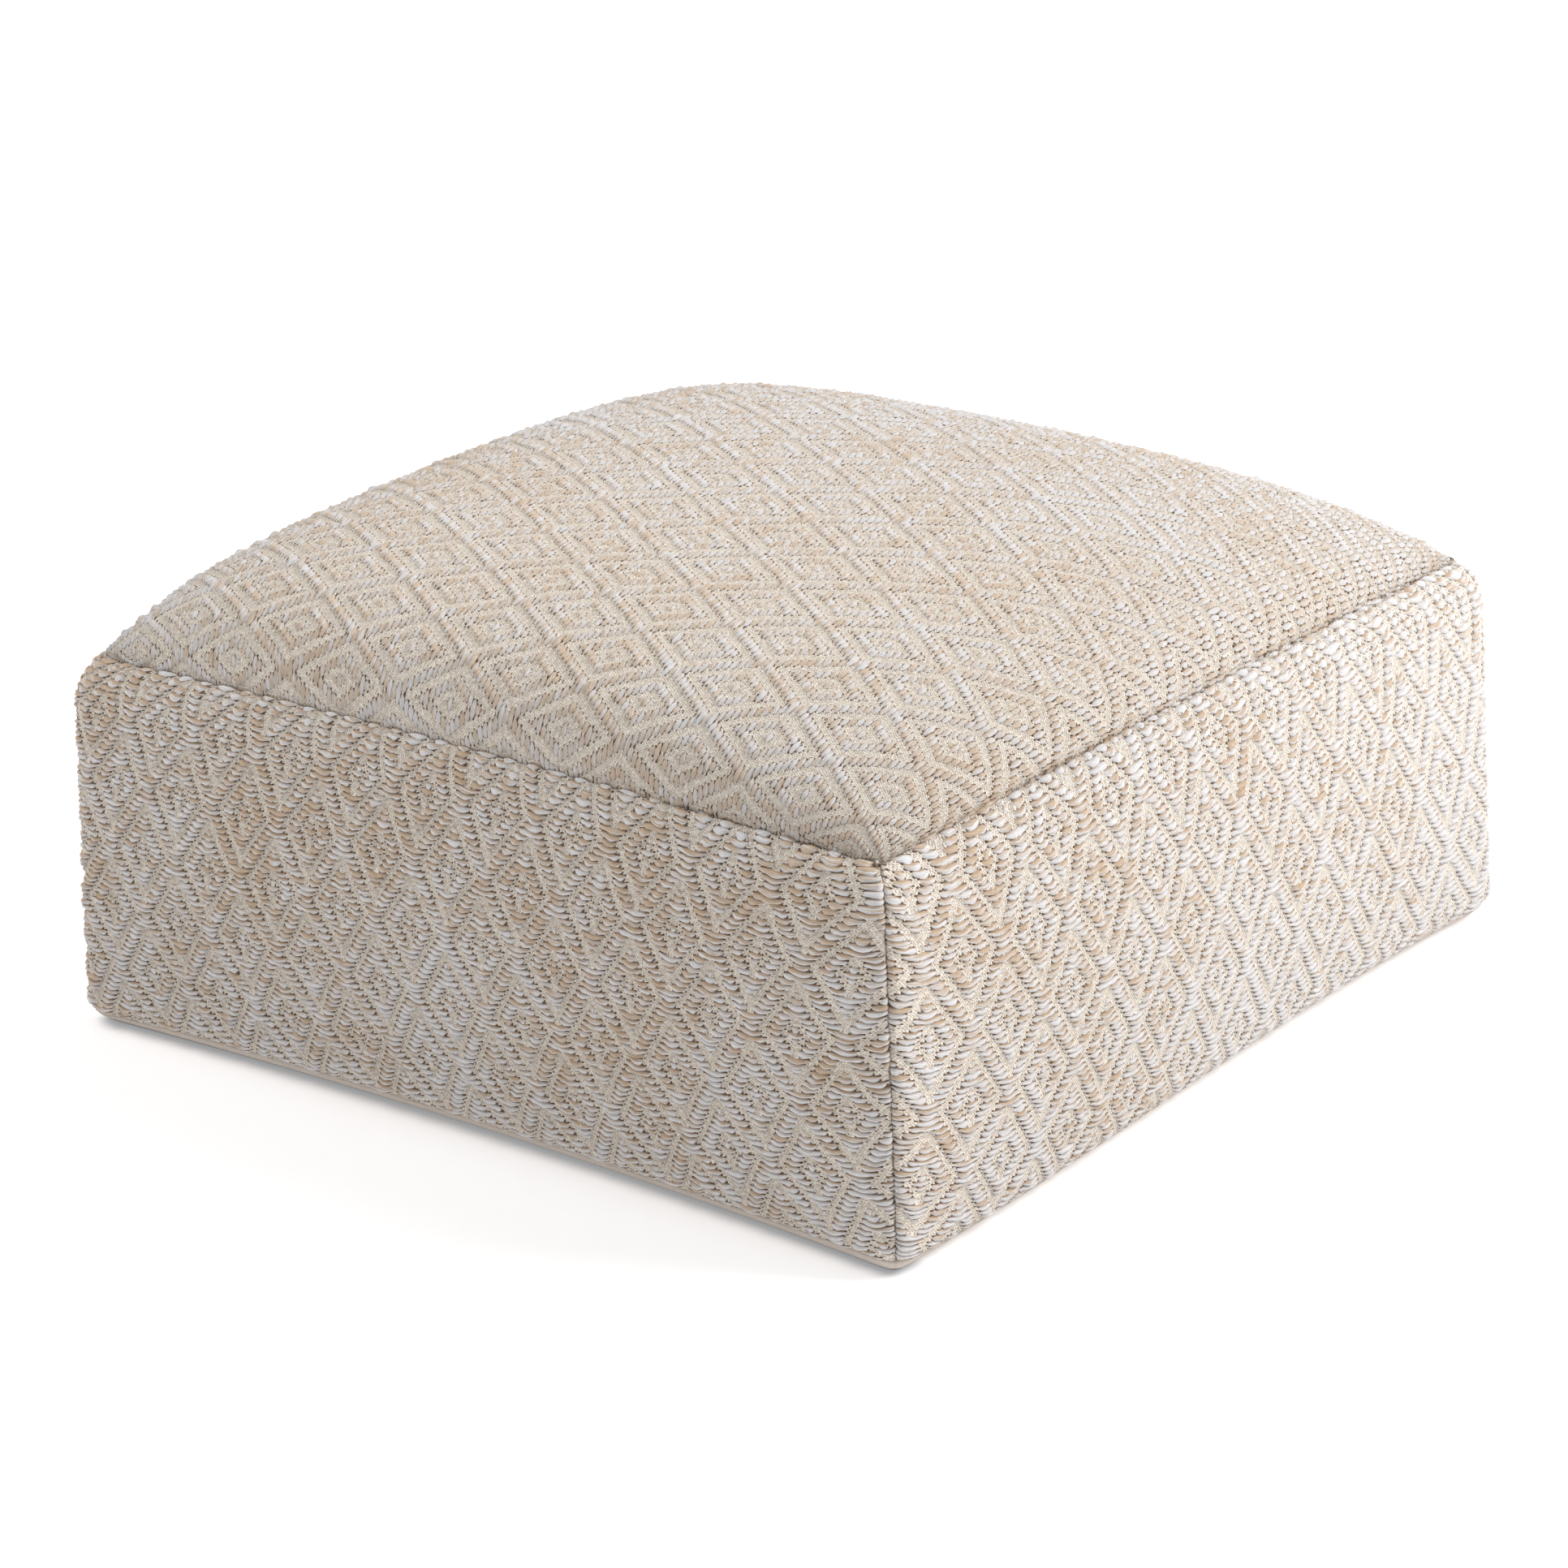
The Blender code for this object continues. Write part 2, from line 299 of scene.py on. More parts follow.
def float_at(weft, rows, slack):
    """For a place in the weave: its row, its place across the row, how far along its
    float it is, from -1 at one end to 1 at the other, and half the float's length."""
    row = np.floor(rows + 0.5)
    a, b = triangle_wave(weft), triangle_wave(row / ROWS_A_STEP)
    turned = a + b > 1
    a, b = np.where(turned, 1 - a, a), np.where(turned, 1 - b, b)
    way = np.where((weft % 2 < 1) != turned, 1, -1)
    off_float = 2.0
    span, length = np.full_like(a, off_float), np.zeros_like(a)
    for centre, half in float_spans(b, slack):
        share = (a - centre) / np.maximum(half, LEAST_FLOAT)
        along = np.where(half > LEAST_FLOAT, share, off_float)
        nearer = np.abs(along) < np.abs(span)
        span, length = np.where(nearer, along, span), np.where(nearer, half, length)
    return row, rows - row, np.clip(span, -1, 1) * way, np.clip(length / LATTICE, *FLOAT_LENGTHS)


def uneven_by(waves, weft, row):
    """A number about 1 that differs from float to float."""
    share = 1
    for size, a_step, a_row in waves:
        share = share + size * np.sin(a_step * weft + a_row * row)
    return share


def float_rise(weft, rows, slack=0.0):
    """How far the cloth stands proud at a place in the weave, in millimetres."""
    row, across, span, length = float_at(weft, rows, slack)
    arch = np.sqrt(1 - span**2)
    plump = uneven_by(PLUMP_WAVES, weft, row)
    width = BUNDLE_REACH * np.maximum(arch, 0.001) ** 0.5
    bundle = np.sqrt(np.maximum(0, 1 - (across / width) ** 2))
    bundle = BUNDLE_EDGE + (1 - BUNDLE_EDGE) * bundle
    return KNOT_RISE + FLOAT_RISE * arch * length**0.5 * plump * bundle


def float_sag(weft, rows):
    """How far a float hangs below its row on a side, in decimetres."""
    row, _, span, length = float_at(weft, rows, 0.0)
    loose = uneven_by(SAG_WAVES, weft, row)
    return FLOAT_SAG * (1 - span**2) ** 1.5 * (1 - FLOAT_LEAN * span) * length * loose


def rows_on_lines(rows_fine, fine, lines_a_row):
    """Where the grid's lines cross each of its columns, and the rows that they are at.
    Each row of weft has the same lines on it."""
    first = 2 * math.floor(rows_fine.min() / 2) - 0.5
    count = math.ceil((rows_fine.max() - first) * lines_a_row) + 1
    lines = first + np.arange(count) / lines_a_row
    places = np.stack([np.interp(lines, rows, fine) for rows in rows_fine])
    rows = np.stack([np.interp(place, fine, row) for place, row in zip(places, rows_fine)])
    return places, rows


def kept_by_seam(from_seam, reach, kept):
    """The share of their height that the floats keep this near to where they are sewn."""
    free = np.clip(from_seam / reach, 0, 1)
    return kept + (1 - kept) * free * (2 - free)


def drawn_in(from_seam, draw):
    """How far a seam pulls the cloth into its groove, in metres."""
    return draw * (1 - np.clip(from_seam / SEAM_REACH, 0, 1)) ** 2


# --- making meshes ----------------------------------------------------------


def new_piece(name, bm, finish, smooth=True):
    mesh = bpy.data.meshes.new(name)
    bm.to_mesh(mesh)
    bm.free()
    if smooth:
        mesh.shade_smooth()
    mesh.materials.append(finish)
    made = bpy.data.objects.new(name, mesh)
    bpy.context.scene.collection.objects.link(made)
    return made


def cloth_grid(points, places):
    """A grid of cloth over arrays of points, each vertex with its place in the weave."""
    columns, lines = points.shape[0] - 1, points.shape[1] - 1
    bm = bmesh.new()
    bmesh.ops.create_grid(bm, x_segments=columns, y_segments=lines, size=1.0)
    weave = bm.verts.layers.float_vector.new("weave")
    for vert in bm.verts:
        column = round((vert.co.x + 1) / 2 * columns)
        line = round((vert.co.y + 1) / 2 * lines)
        vert[weave] = Vector(places[column, line])
        vert.co = Vector(points[column, line])
    bmesh.ops.remove_doubles(bm, verts=bm.verts, dist=WELD)
    return bm


def verts_of(edges):
    return {vert for edge in edges for vert in edge.verts}


def extruded(bm, edges):
    """Extrudes open edges in place, and gives the new open ones."""
    made = bmesh.ops.extrude_edge_only(bm, edges=edges)["geom"]
    return [part for part in made if isinstance(part, bmesh.types.BMEdge) and part.is_boundary]


def turn_edge_in(bm, edges, turns=2):
    """Extrudes the cloth's edge inwards, behind the seam."""
    for _ in range(turns):
        normals = {vert: vert.normal.copy() for vert in verts_of(edges)}
        edges = extruded(bm, edges)
        for vert in verts_of(edges):
            beside = (edge.other_vert(vert) for edge in vert.link_edges)
            above = next(other for other in beside if other in normals)
            vert.co = above.co - normals[above] * TURNED_IN / turns
            vert.normal = normals[above]
    return edges


def close_below(bm, edges):
    """Carries the top cloth's turned-in edge down to the foot and closes it there."""
    for height, share in FILLING_FOOT:
        edges = extruded(bm, edges)
        for vert in verts_of(edges):
            vert.co = (vert.co.x * share, vert.co.y * share, height)
    bmesh.ops.contextual_create(bm, geom=edges)
    bmesh.ops.recalc_face_normals(bm, faces=bm.faces[:])


def finish_cloth(name, points, weft, rows, finish, slack=0.0):
    bm = cloth_grid(points, np.stack([weft, rows, np.full_like(rows, slack)], -1))
    bmesh.ops.recalc_face_normals(bm, faces=bm.faces[:])
    bm.normal_update()
    edges = turn_edge_in(bm, [edge for edge in bm.edges if edge.is_boundary])
    if name == "top":
        close_below(bm, edges)
    return new_piece(f"woven_{name}", bm, finish)


def make_side(name, finish, lines_a_row=3):
    """A side's cloth. Its weft runs along the side, so its rows are counted down it."""
    side, layout = SIDES[name], LAYOUTS[name]

    def surface(along, share):
        return side_points(side, along, PANEL_START + (1 - PANEL_START) * (share + 1) / 2)

    fine = np.linspace(-1, 1, SIDE_SAMPLES[0])
    run_along = run_of(surface(fine, 0 * fine))
    run_up = run_of(surface(0 * fine, fine))
    width, drop = run_along[-1], run_up[-1]
    x = np.linspace(0, width, layout["columns"] + 1)
    along = np.interp(x, run_along, fine)
    if layout["from_end"]:
        x = width - x
    depth_fine = np.linspace(0, drop, SIDE_SAMPLES[1])
    rows_fine = ROWS_A_STEP * steps(layout["warp"], side_terms(x[:, None], depth_fine[None, :]))
    depth, rows = rows_on_lines(rows_fine, depth_fine, lines_a_row)
    weft = steps(layout["weft"], side_terms(x[:, None], depth))

    free = np.clip(np.minimum(depth, drop - depth) / SEAM_FREE, 0, 1)
    share = np.interp(drop - (depth + float_sag(weft, rows) * free), run_up, fine)
    along = np.broadcast_to(along[:, None], share.shape)
    from_corner = np.minimum(x, width - x)[:, None]
    rise = layout["rise"] * float_rise(weft, rows) * kept_by_seam(depth, SEAM_FREE, SEAM_FULL)
    at_foot = kept_by_seam(drop - depth - hem_at(name, along), FOOT_FREE, 0)
    rise *= at_foot * kept_by_seam(from_corner, SEAM_FREE, CORNER_FULL)

    cos, sin = QUARTER_TURNS[side["turn"]]
    draw = drawn_in(depth, TOP_DRAW)[..., None] * np.array([-sin, cos, -1]) / math.sqrt(2)
    to_corner = np.sign(along)[..., None] * np.array([cos, sin, 0]) - np.array([-sin, cos, 0])
    pull = (drawn_in(from_corner, SEAM_DRAW) * np.ones_like(depth))[..., None]
    draw = draw - pull * to_corner / math.sqrt(2)
    points = surface(along, share) + draw + outward(surface, along, share) * (rise[..., None] * MM)
    return finish_cloth(name, points, weft, rows, finish)


def make_top(finish, columns=280, lines_a_row=2):
    """The crowned top cloth. Its weft runs front to back, so its rows are counted across."""
    fine = np.linspace(-1, 1, TOP_SAMPLES[0])
    run_x = run_of(top_points(fine, 0 * fine))
    run_y = run_of(top_points(0 * fine, fine))
    half_x, half_y = run_x[-1] / 2, run_y[-1] / 2
    y = np.linspace(0, run_y[-1], columns + 1)
    along = np.interp(y, run_y, fine)
    y = y - half_y
    x_fine = np.linspace(0, run_x[-1], TOP_SAMPLES[1])
    rows_fine = ROWS_A_STEP * steps(TOP_WARP, top_terms(x_fine[None, :] - half_x, y[:, None]))
    x, rows = rows_on_lines(rows_fine, x_fine, lines_a_row)
    weft = steps(TOP_WEFT, top_terms(x - half_x, y[:, None]))

    across = np.interp(x, run_x, fine)
    along = np.broadcast_to(along[:, None], across.shape)
    beside = np.minimum(x, run_x[-1] - x)
    ends = np.minimum(y + half_y, half_y - y)[:, None] * np.ones_like(x)
    rise = float_rise(weft, rows, TOP_SLACK)
    rise = rise * kept_by_seam(np.minimum(beside, ends), SEAM_FREE, SEAM_FULL)
    still = np.zeros_like(x)
    sideways = np.stack([-np.sign(across), still, still - 1], -1)
    endways = np.stack([still, -np.sign(along), still - 1], -1)
    draw = drawn_in(beside, TOP_DRAW)[..., None] * sideways
    draw += drawn_in(ends, TOP_DRAW)[..., None] * endways
    points = top_points(across, along) + draw / math.sqrt(2)
    points = points + outward(top_points, across, along) * (rise[..., None] * MM)
    return finish_cloth("top", points, weft, rows, finish, TOP_SLACK)


def make_base(finish, columns=96, rim_rows=8):
    """Canvas: flat on the floor, with its edge turned up to the side panels."""
    shares = -np.cos(np.linspace(0, math.pi, columns + 1))[:-1]
    foot_run = TUCK_HEIGHT * math.pi / 2
    bm = bmesh.new()
    last = None
    for row in range(rim_rows + 1):
        ring = []
        proud = HEM_RISE * (1 - (row / rim_rows) ** 2)
        for name, side in SIDES.items():
            surface = partial(side_points, side)
            lap = hem_at(name, shares) / DECIMETRES / foot_run * TUCK_SHARE
            up = (PANEL_START + lap) * (1 - row / rim_rows)
            points = surface(shares, up) + outward(surface, shares, up) * proud
            ring += [bm.verts.new(Vector(point)) for point in points]
        edges = [bm.edges.new(ends) for ends in zip(ring, ring[1:] + ring[:1])]
        if last:
            bmesh.ops.bridge_loops(bm, edges=last + edges)
        last = edges
    bmesh.ops.contextual_create(bm, geom=last)
    bmesh.ops.recalc_face_normals(bm, faces=bm.faces[:])
    base = new_piece("canvas_base", bm, finish)
    if base.data.polygons[-1].normal.z > 0:
        base.data.flip_normals()
    wall = base.modifiers.new("thickness", "SOLIDIFY")
    wall.thickness = CANVAS_THICKNESS
    wall.offset = -1.0
    return base


# --- shader nodes --------------------------------------------------------------


def feed(tree, value, slot):
    if isinstance(value, Wire):
        tree.links.new(value.socket, slot)
    else:
        slot.default_value = value


def maths(tree, operation, *values):
    node = tree.nodes.new("ShaderNodeMath")
    node.operation = operation
    for slot, value in zip(node.inputs, values):
        feed(tree, value, slot)
    return Wire(tree, node.outputs[0])


class Wire:
    """A socket in a node tree that can be used in sums."""

    def __init__(self, tree, socket):
        self.tree, self.socket = tree, socket

    def do(self, operation, *others):
        return maths(self.tree, operation, self, *others)

    def __add__(self, other):
        return self.do("ADD", other)

    def __sub__(self, other):
        return self.do("SUBTRACT", other)

    def __mul__(self, other):
        return self.do("MULTIPLY", other)

    def __truediv__(self, other):
        return self.do("DIVIDE", other)

    def less(self, other):
        return self.do("LESS_THAN", other)

    def more(self, other):
        return self.do("GREATER_THAN", other)

    def lowest(self, other):
        return self.do("MINIMUM", other)

    def highest(self, other):
        return self.do("MAXIMUM", other)

    def size(self):
        return self.do("ABSOLUTE")

    def flipped(self):
        """One minus it."""
        return maths(self.tree, "SUBTRACT", 1.0, self)

    def between(self, low, high):
        """From 0 at low to 1 at high, smoothly."""
        node = self.tree.nodes.new("ShaderNodeMapRange")
        node.interpolation_type = "SMOOTHSTEP"
        feed(self.tree, self, node.inputs["Value"])
        node.inputs["From Min"].default_value = low
        node.inputs["From Max"].default_value = high
        return Wire(self.tree, node.outputs[0])

    def parts(self):
        """Its X, Y and Z."""
        split = self.tree.nodes.new("ShaderNodeSeparateXYZ")
        feed(self.tree, self, split.inputs[0])
        return [Wire(self.tree, output) for output in split.outputs]


def choose(mask, no, yes):
    """yes where mask is 1, and no where it is 0."""
    node = mask.tree.nodes.new("ShaderNodeMix")
    for slot, value in zip((0, 2, 3), (mask, no, yes)):
        feed(mask.tree, value, node.inputs[slot])
    return Wire(mask.tree, node.outputs[0])


def blend(mask, no, yes):
    """The same for colours."""
    node = mask.tree.nodes.new("ShaderNodeMix")
    node.data_type = "RGBA"
    for slot, value in zip((0, 6, 7), (mask, no, yes)):
        feed(mask.tree, value, node.inputs[slot])
    return Wire(mask.tree, node.outputs[2])


def joined(x, y, z=0.0):
    """A place made of two or three numbers, the first of them a wire."""
    node = x.tree.nodes.new("ShaderNodeCombineXYZ")
    for value, slot in zip((x, y, z), node.inputs):
        feed(x.tree, value, slot)
    return Wire(x.tree, node.outputs[0])


def noise(place, scale=1.0, detail=1.0, roughness=0.5):
    node = place.tree.nodes.new("ShaderNodeTexNoise")
    node.inputs["Scale"].default_value = scale
    node.inputs["Detail"].default_value = detail
    node.inputs["Roughness"].default_value = roughness
    feed(place.tree, place, node.inputs["Vector"])
    return Wire(place.tree, node.outputs[0])


def swing(x, y, z=0.0, detail=1.0):
    """Noise about 0."""
    return noise(joined(x, y, z), detail=detail) - 0.5


def new_group(name, takes, gives):
    tree = bpy.data.node_groups.new(name, "ShaderNodeTree")
    for way, sockets in (("INPUT", takes), ("OUTPUT", gives)):
        for label, kind in sockets:
            tree.interface.new_socket(label, in_out=way, socket_type=f"NodeSocket{kind}")
    start = tree.nodes.new("NodeGroupInput")
    end = tree.nodes.new("NodeGroupOutput")
    return tree, {label: Wire(tree, start.outputs[label]) for label, _ in takes}, end


def new_finish(name, roughness):
    """A material, with its tree and its shader."""
    made = bpy.data.materials.new(name)
    made.use_nodes = True
    shader = made.node_tree.nodes["Principled BSDF"]
    shader.inputs["Roughness"].default_value = roughness
    return made, made.node_tree, shader


def object_place(tree):
    return Wire(tree, tree.nodes.new("ShaderNodeTexCoord").outputs["Object"])


def add_relief(shader, height, distance):
    bump = height.tree.nodes.new("ShaderNodeBump")
    bump.inputs["Strength"].default_value = 1.0
    bump.inputs["Distance"].default_value = distance
    feed(height.tree, height, bump.inputs["Height"])
    height.tree.links.new(bump.outputs[0], shader.inputs["Normal"])


# --- finishes ----------------------------------------------------------------

WEAVE_GIVES = ("Float", "Span", "Row", "Across", "Weft", "Knot", "On Top")
FIBRE_RANGE = (0.3, 0.7)     # of the noise, from one fibre's colour to the next one's
SIDE_PAINTED_LIGHT = (1.67, 0.5)      # how much painted light the sides get, a metre towards the back and at the middle
CANVAS_FOOT_SHADE_HEIGHTS = (0.0047, 0.004)        # in metres
CANVAS_FOOT_SHADE_PLACES = (-0.27, -0.28)          # in metres: the painted shade lies only along the front


def float_span(weft, b, slack):
    """How far along its float a place is, and whether it is on one, at height b."""
    a = weft.do("PINGPONG", 1.0)
    turned = (a + b).more(1.0)
    a, b = choose(turned, a, a.flipped()), choose(turned, b, b.flipped())
    below = b + slack
    eye_span = a / (below * -1.0 + EYE).highest(LEAST_FLOAT)
    eye = eye_span.less(1.0) * below.less(EYE)
    ring_middle = (b * -1.0 + (RING_IN + RING_OUT) / 2) * (b - slack).less(RING_IN)
    ring_half = below * -1.0 + RING_OUT - ring_middle
    ring_span = (a - ring_middle) / ring_half.highest(LEAST_FLOAT)
    ring = ring_span.size().less(1.0) * below.less(RING_OUT)
    start = slack - b + (1 - LATTICE)
    long = start.less(0.0)
    middle = choose(below.less(LATTICE), b.flipped() * long.flipped(), 1.0)
    half = choose(long, middle - start, below * -1.0 + (1 + LATTICE))
    lattice_span = (a - middle) / half.highest(LEAST_FLOAT)
    span = choose(eye, choose(ring, lattice_span, ring_span), eye_span)
    return span, eye.highest(ring).highest(lattice_span.size().less(1.0))


def diamond_weave():
    """Where the floats lie: the same layout that float_rise models."""
    gives = [(label, "Float") for label in WEAVE_GIVES]
    tree, taken, end = new_group("diamond_weave", [("Place", "Vector")], gives)
    weft, rows, slack = taken["Place"].parts()
    row = (rows + 0.5).do("FLOOR")
    picks = rows * float(PICKS_A_ROW) + swing(weft * 13.0, rows * 2.2, 0.0) * 1.5
    ends = weft * float(ENDS_A_STEP) + swing(weft * 13.0, rows * 2.2, 7.0) * 1.2
    staggered = ((picks + 0.5).do("FLOOR") * 0.5).do("FRACT")
    warp_end = (ends - staggered + 0.5).do("FLOOR") + staggered
    knot = (ends * (2 * math.pi)).do("COSINE") * (picks * math.pi).do("COSINE") * 0.5 + 0.5
    b = (row / ROWS_A_STEP).do("PINGPONG", 1.0)
    _, on_float = float_span(warp_end / float(ENDS_A_STEP), b, slack)
    span, _ = float_span(weft, b, slack)
    given = (on_float, span, row, rows - row, weft, knot, slack.more(0.0))
    for label, value in zip(WEAVE_GIVES, given):
        feed(tree, value, end.inputs[label])
    return tree


def float_yarn(woven, painted_light):
    """A float's colour and relief: a bundle of loose, slightly twisted strands, drawn
    together at its ends. Shade is painted between strands, under the bundle above, in the
    hollows at its ends and over the top, and light is painted on by where it lies."""
    row, weft, on_top = woven["Row"], woven["Weft"], woven["On Top"]
    span = woven["Span"].size().lowest(1.0)
    outline = (span * span).flipped().highest(0.02).do("POWER", 0.25)
    spread = (woven["Across"] + swing(weft * 7.0, row * 5.3, 9.0) * 0.22) * 2.0 / outline
    wobble = swing(weft * 4.0, row * 3.7 + spread * 0.7)
    strand = spread * (STRANDS / 2) + weft * 4.0 + wobble * 1.6 + row * 0.37
    crest = (strand.do("FRACT") - 0.5) * 2.0
    crest = (crest * crest).flipped()
    fibres = noise(joined(weft * 9.0, spread * 10.0 + row * 7.7), detail=2.0, roughness=0.6)

    one_strand = swing(strand.do("FLOOR") * 5.17 + row * 9.13, weft * 1.5, detail=0.0)
    one_float = swing(weft * 1.2 + row * 7.7, row * 0.41)
    patch = swing(weft * 0.35, row * 0.03, 4.0)
    _, back, height = object_place(row.tree).parts()
    # random patches of paler yarn, and painted light: paler towards the back, lower down, and on
    # the sides than on the top
    tone_and_painted_light = patch * 1.2 + back * 0.45 - (height - 0.25) * 1.3 + on_top.flipped() * 0.14
    # also paler towards a bundle's lower edge, partly the yarns and partly painted shade under the
    # bundle above
    pale = spread * 0.3 + one_float * 1.7 + one_strand * 1.4 + tone_and_painted_light + 0.5
    tan = blend(fibres.between(*FIBRE_RANGE), *TAN)
    top_lit_tan = blend(fibres.between(*FIBRE_RANGE), *TOP_LIT_TAN)
    white = blend(fibres.between(*FIBRE_RANGE), *WHITE)
    # the top gets the tan painted lighter
    yarn = blend(pale.between(0.2, 0.8), blend(on_top, tan, top_lit_tan), white)

    # painted shadow along each bundle's upper edge, under the bundle above: stronger on the top,
    # weaker where the sides get painted light
    shade_under_float = spread.between(-0.35, -1.0) * (on_top * 0.3 - painted_light * 0.2 + 0.5)
    # painted shade in the hollows at a float's ends, between its neighbours, weaker where the
    # sides get painted light
    hollow_shade = spread.size().between(0.68, 1.08) * span.between(0.25, 0.85)
    # painted shade between the strands
    yarn = blend(crest.between(0.6, 0.0) * 0.25, yarn, STRAND_GAP_SHADE)
    yarn = blend(shade_under_float, yarn, UNDER_FLOAT_SHADE)
    # painted shade over the whole top
    yarn = blend(on_top * 0.06, yarn, TOP_SHADE)
    yarn = blend(hollow_shade * (painted_light * -0.5 + 0.95), yarn, HOLLOW_SHADE)
    return yarn, crest * 0.2 + fibres * 0.2 + (spread * spread).flipped() * 0.4


def warp_knots(woven, painted_light):
    """The cream warp's colour and relief: small knots in staggered rows, with painted shade
    between them and in some pits, and painted light towards the back of the sides."""
    weft, knot = woven["Weft"], woven["Knot"]
    rows = woven["Row"] + woven["Across"]
    fleck = noise(joined(weft * 26.0, rows * 3.4, 3.0))
    tone = noise(joined(weft * 9.0, rows * 1.7, 5.0), detail=2.0)
    # painted shade in some of the pits between knots, weaker where the sides get painted light
    tick_shade = knot.between(0.42, 0.08) * fleck.between(0.5, 0.62)
    cream = blend(tone.between(0.35, 0.62), *CREAM)
    # painted light on the cream towards the back of the sides
    cream = blend(painted_light * 0.4, cream, LIT_CREAM)
    # painted shade between the knots
    cream = blend(knot.between(0.55, 0.05) * 0.35, cream, KNOT_GAP_SHADE)
    cream = blend(tick_shade * (painted_light * -0.35 + 0.85), cream, TICK_SHADE)
    return cream, knot * 0.7 + fleck * 0.25


def woven_cloth():
    made, tree, shader = new_finish("woven_cloth", roughness=0.85)
    shader.inputs["Specular IOR Level"].default_value = 0.25
    read = tree.nodes.new("ShaderNodeAttribute")
    read.attribute_name = "weave"
    layout = tree.nodes.new("ShaderNodeGroup")
    layout.node_tree = diamond_weave()
    tree.links.new(read.outputs["Vector"], layout.inputs["Place"])
    woven = {label: Wire(tree, layout.outputs[label]) for label in WEAVE_GIVES}
    _, back, _ = object_place(tree).parts()
    # painted light on the sides, growing towards the back where the key light falls; none on the
    # top
    painted_light = (back * SIDE_PAINTED_LIGHT[0] + SIDE_PAINTED_LIGHT[1]) * woven["On Top"].flipped()
    yarn, yarn_relief = float_yarn(woven, painted_light)
    cream, cream_relief = warp_knots(woven, painted_light)
    feed(tree, blend(woven["Float"], cream, yarn), shader.inputs["Base Color"])
    add_relief(shader, choose(woven["Float"], cream_relief, yarn_relief), MM)
    return made


def base_canvas():
    made, tree, shader = new_finish("base_canvas", roughness=0.9)
    place = object_place(tree)
    _, back, height = place.parts()
    threads = noise(place, scale=900.0, detail=2.0)
    # painted shade in a thin band along the foot of the front
    edge = height.between(*CANVAS_FOOT_SHADE_HEIGHTS) * back.between(*CANVAS_FOOT_SHADE_PLACES)
    feed(tree, blend(edge, blend(threads, *CANVAS), CANVAS_FOOT_SHADE), shader.inputs["Base Color"])
    add_relief(shader, threads, 0.4 * MM)
    return made


# --- the pouf ------------------------------------------------------------------


def dress():
    cloth, canvas = woven_cloth(), base_canvas()
    top = make_top(cloth)
    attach(top, "root")
    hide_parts("top_panel")
    for name in SIDES:
        piece = make_side(name, cloth)
        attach(piece, "root")
        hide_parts(f"side_panel_{name}")
    base = make_base(canvas)
    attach(base, "root")
    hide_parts("base_panel")


# --- the studio ------------------------------------------------------------------

CAMERA_PLACE = (1.8273, -2.2780, 1.2720)
CAMERA_ANGLES = (38.8375, 21.5534, -1.9755)  # azimuth, elevation and roll, in degrees
LENS, SENSOR = 121.13, 36.0                  # in millimetres
FLOOR_COLOUR = (0.9, 0.885, 0.875, 1)
FLOOR_GLOW = ((0.24, 0.24, 0.24, 1), (0.55, 0.55, 0.55, 1))  # by the pouf, and far off
GLOW_RANGE = (0.6, 3.0)                      # from the middle, in metres
WORLD_COLOUR, WORLD_STRENGTH = (0.92, 0.95, 1.0, 1), 0.53
LIGHTS = {
    "key": {
        "place": (2.3, 1.6, 2.2),
        "target": (0, 0, 0.15),
        "size": 1.9,
        "power": 114,
        "colour": (1.0, 0.996, 0.996),
    },
    "overhead": {
        "place": (-1.3, -0.9, 2.4),
        "target": (0, 0, 0.2),
        "size": 1.6,
        "power": 36,
        "colour": (1.0, 0.985, 0.965),
    },
}


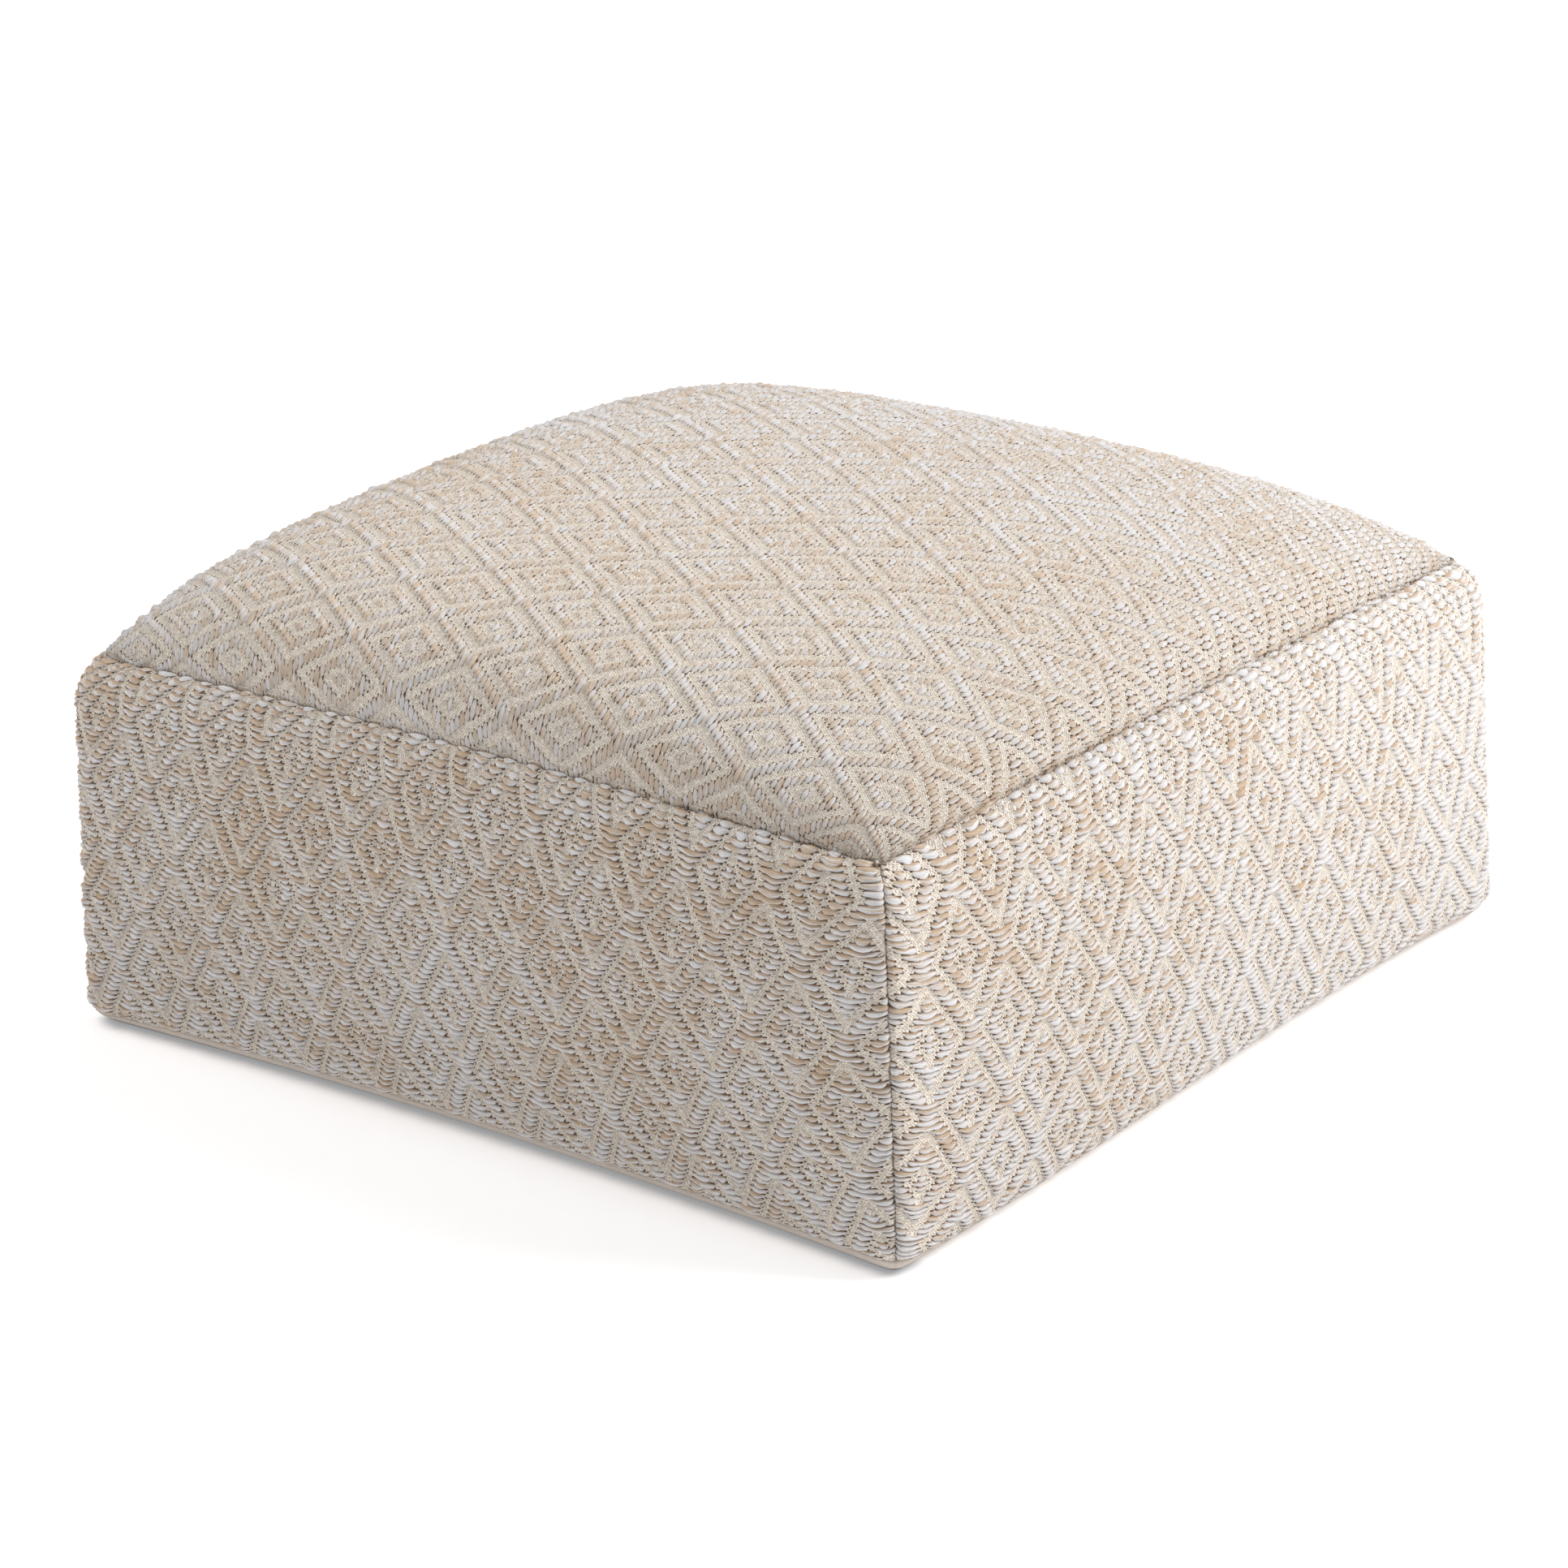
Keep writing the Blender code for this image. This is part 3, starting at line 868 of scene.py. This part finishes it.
def add_camera():
    azimuth, elevation, roll = (math.radians(angle) for angle in CAMERA_ANGLES)
    level_out = math.cos(elevation)
    away = (math.sin(azimuth) * level_out, -math.cos(azimuth) * level_out, math.sin(elevation))
    back = Vector(away)
    level = Vector((math.cos(azimuth), math.sin(azimuth), 0))
    above = back.cross(level)
    right = math.cos(roll) * level + math.sin(roll) * above
    up = -math.sin(roll) * level + math.cos(roll) * above
    camera = bpy.data.objects.new("camera", bpy.data.cameras.new("camera"))
    camera.data.sensor_width = SENSOR
    camera.data.lens = LENS
    turn = Matrix((right, up, back)).transposed().to_4x4()
    camera.matrix_world = Matrix.Translation(CAMERA_PLACE) @ turn
    bpy.context.scene.collection.objects.link(camera)
    bpy.context.scene.camera = camera


def add_light(name, place, target, size, power, colour):
    lamp = bpy.data.objects.new(name, bpy.data.lights.new(name, "AREA"))
    lamp.data.shape = "RECTANGLE"
    lamp.data.size = lamp.data.size_y = size
    lamp.data.energy = power
    lamp.data.color = colour
    lamp.location = place
    towards = Vector(target) - Vector(place)
    lamp.rotation_euler = towards.to_track_quat("-Z", "Y").to_euler()
    bpy.context.scene.collection.objects.link(lamp)


def floor_paint():
    """Matt and pale. It glows a little, more so away from the pouf."""
    paint, tree, shader = new_finish("studio_floor", roughness=1.0)
    shader.inputs["Base Color"].default_value = FLOOR_COLOUR
    shader.inputs["Specular IOR Level"].default_value = 0.0
    away = tree.nodes.new("ShaderNodeVectorMath")
    away.operation = "LENGTH"
    feed(tree, object_place(tree), away.inputs[0])
    away = Wire(tree, away.outputs["Value"])
    glow = blend(away.between(*GLOW_RANGE), *FLOOR_GLOW)
    feed(tree, glow, shader.inputs["Emission Color"])
    shader.inputs["Emission Strength"].default_value = 1.0
    return paint


def add_studio():
    bm = bmesh.new()
    bmesh.ops.create_grid(bm, x_segments=1, y_segments=1, size=12.0)
    floor = new_piece("studio_floor", bm, floor_paint(), smooth=False)
    world = bpy.data.worlds.new("studio")
    world.use_nodes = True
    background = world.node_tree.nodes["Background"]
    background.inputs["Color"].default_value = WORLD_COLOUR
    background.inputs["Strength"].default_value = WORLD_STRENGTH
    bpy.context.scene.world = world
    bpy.context.scene.view_settings.view_transform = "Standard"
    for name, light in LIGHTS.items():
        add_light(name, **light)


dress()
add_camera()
add_studio()
